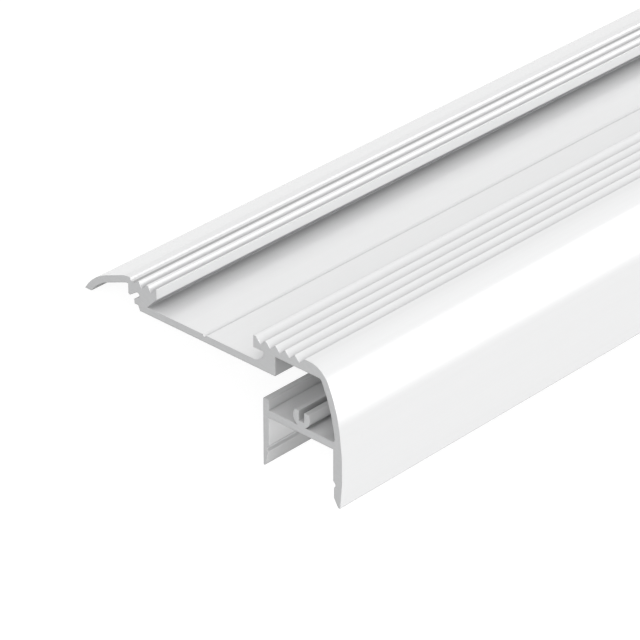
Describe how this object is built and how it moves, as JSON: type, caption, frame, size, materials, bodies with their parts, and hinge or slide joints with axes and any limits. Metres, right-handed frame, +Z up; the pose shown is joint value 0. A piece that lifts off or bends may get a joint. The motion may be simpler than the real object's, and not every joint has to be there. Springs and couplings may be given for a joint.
{
  "type": "stair nosing",
  "caption": "Extruded aluminium stair nosing with ribbed edges, an insert recess, a springy back lip, and a bulged front that holds a cable chamber and a light channel.",
  "frame": {"origin": "middle of the profile's outline on the floor it lies on", "axes": "+X along the length, +Y towards the back of the tread, +Z up; the section lies tilted back about X, on its flange and on its back lip"},
  "size_m": [1, 0.0676, 0.029],
  "materials": {
    "aluminium": "satin, silver anodised"
  },
  "bodies": {
    "root": {"stair_nosing": "aluminium"}
  },
  "joints": []
}
